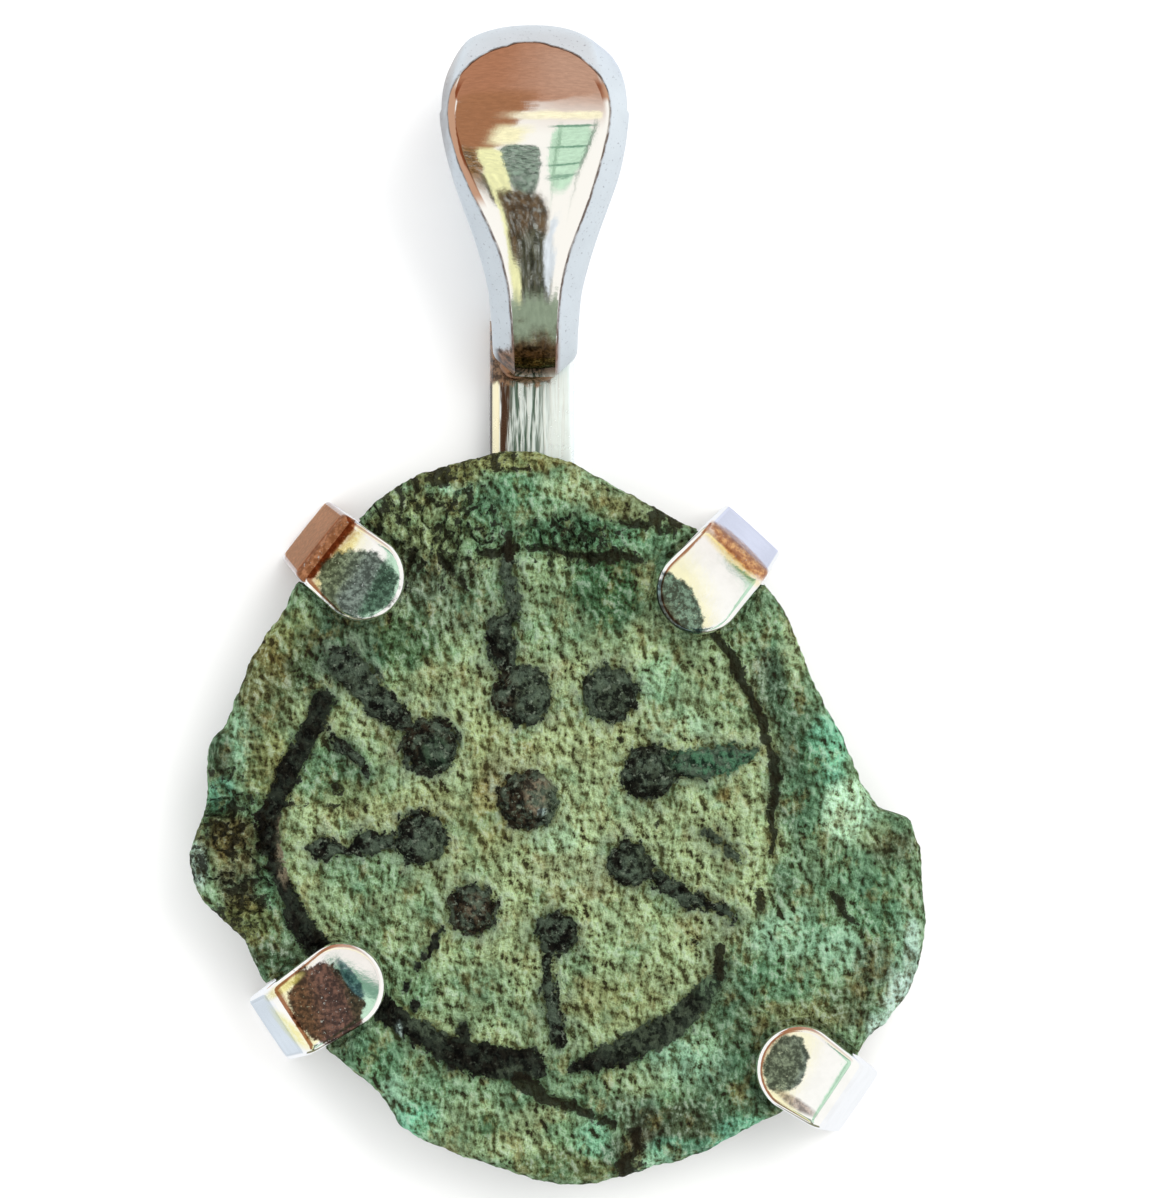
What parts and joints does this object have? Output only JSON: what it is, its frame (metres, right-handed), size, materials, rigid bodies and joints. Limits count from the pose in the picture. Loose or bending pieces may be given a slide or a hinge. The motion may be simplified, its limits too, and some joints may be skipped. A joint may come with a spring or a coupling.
{
  "type": "coin pendant",
  "caption": "Worn bronze coin with a star of pellets and rays in a ring, gripped by silver strap prongs on an open back ring, with a stem and a teardrop bail.",
  "frame": {"origin": "on the plane that the pendant lies on, under the middle of its outline", "axes": "+Y towards the bail, +Z out of the coin's face, +X to the right as the face is seen with the bail up"},
  "size_m": [0.0148, 0.0232, 0.0045],
  "materials": {
    "patinated_bronze": "dry olive and blue-green patina, dark brown on the relief",
    "silver": "polished fronts, satin flanks, brushed stem"
  },
  "bodies": {
    "root": {"coin": "patinated_bronze", "setting": "silver"}
  },
  "joints": []
}
